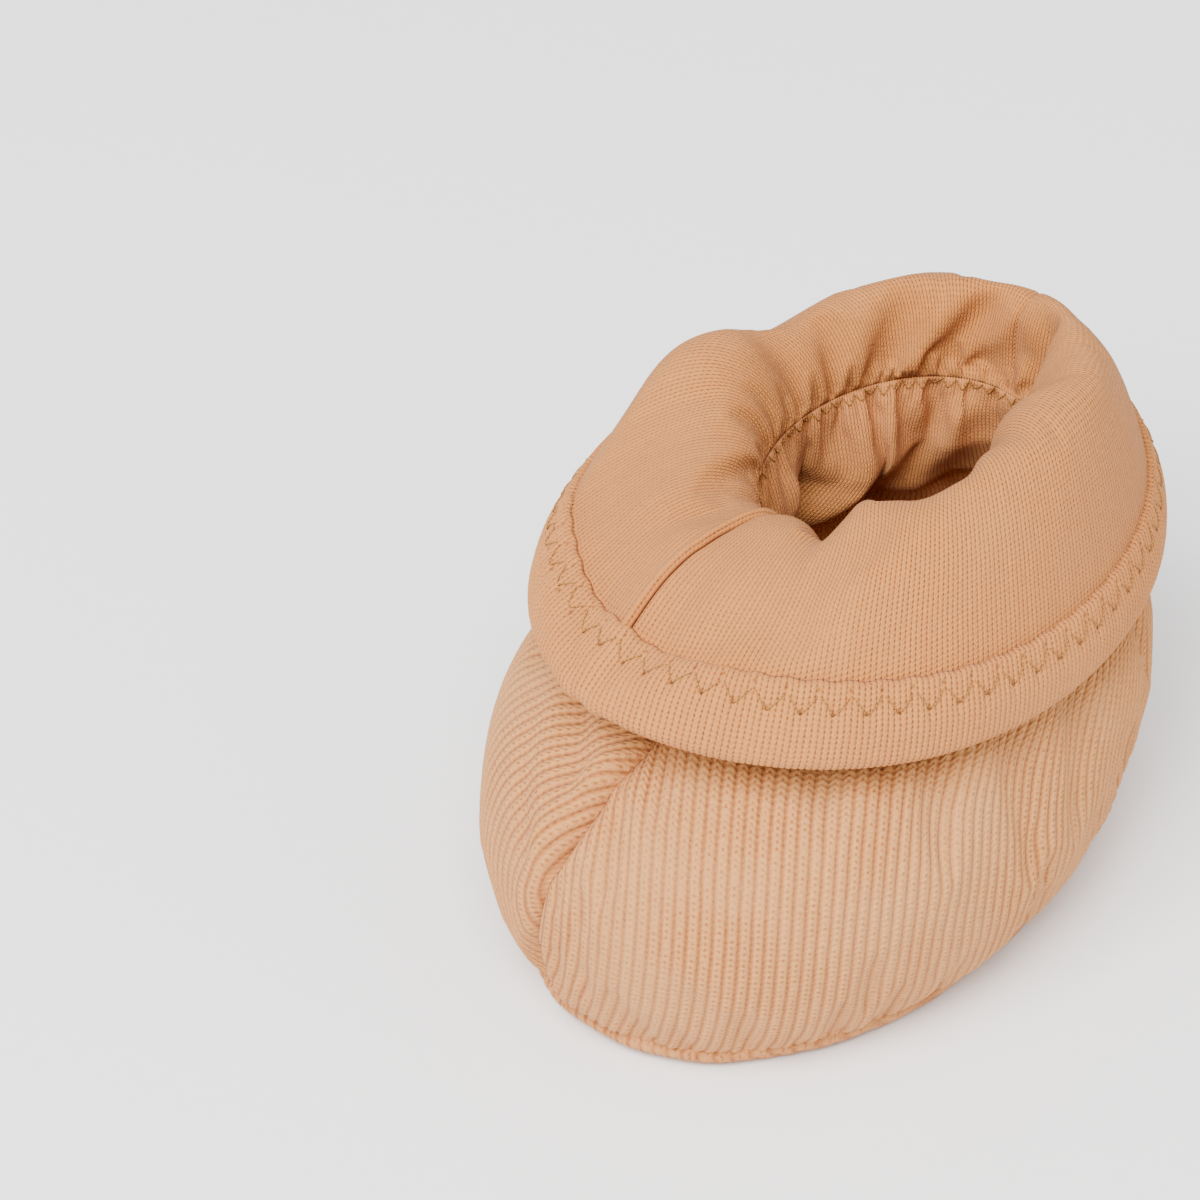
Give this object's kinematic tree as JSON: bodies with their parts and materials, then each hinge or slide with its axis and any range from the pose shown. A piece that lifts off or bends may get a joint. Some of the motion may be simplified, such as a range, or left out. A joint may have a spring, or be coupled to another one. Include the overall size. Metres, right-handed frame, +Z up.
{
  "type": "baby bootie",
  "caption": "Soft padded knit baby bootie with a rounded foot, a gathered elastic ankle and a turned-down padded cuff with a zigzag-stitched hem.",
  "frame": {"origin": "on the floor under the middle of the bootie's bounding box", "axes": "+Z up, toe towards -Y and heel towards +Y, +X to the wearer's left; the length lies along Y"},
  "size_m": [0.08, 0.1106, 0.0799],
  "materials": {
    "outer_rib_knit": "brushed wide-rib cotton knit, matt with a soft fuzz",
    "fine_rib_knit": "fine-rib cotton interlock, matt",
    "binding_knit": "fine-rib cotton strip folded over the hem, matt",
    "wadding": "white polyester wadding, fluffy",
    "elastic_braid": "off-white braided elastic",
    "sewing_thread": "spun polyester thread, tan with a green cast"
  },
  "bodies": {
    "root": {"outer_panel_left": "outer_rib_knit", "outer_panel_right": "outer_rib_knit", "outsole": "outer_rib_knit", "lining_panel_left": "fine_rib_knit", "lining_panel_right": "fine_rib_knit", "insole_lining": "fine_rib_knit", "cuff_facing_left": "fine_rib_knit", "cuff_facing_right": "fine_rib_knit", "cuff_underside_left": "fine_rib_knit", "cuff_underside_right": "fine_rib_knit", "cuff_binding": "binding_knit", "wadding_left": "wadding", "wadding_right": "wadding", "wadding_sole": "wadding", "cuff_wadding_left": "wadding", "cuff_wadding_right": "wadding", "ankle_elastic": "elastic_braid", "binding_zigzag_thread": "sewing_thread", "ankle_zigzag_thread": "sewing_thread", "front_seam_thread": "sewing_thread", "back_seam_thread": "sewing_thread", "lining_seam_thread": "sewing_thread", "sole_seam_thread": "sewing_thread"}
  },
  "joints": []
}
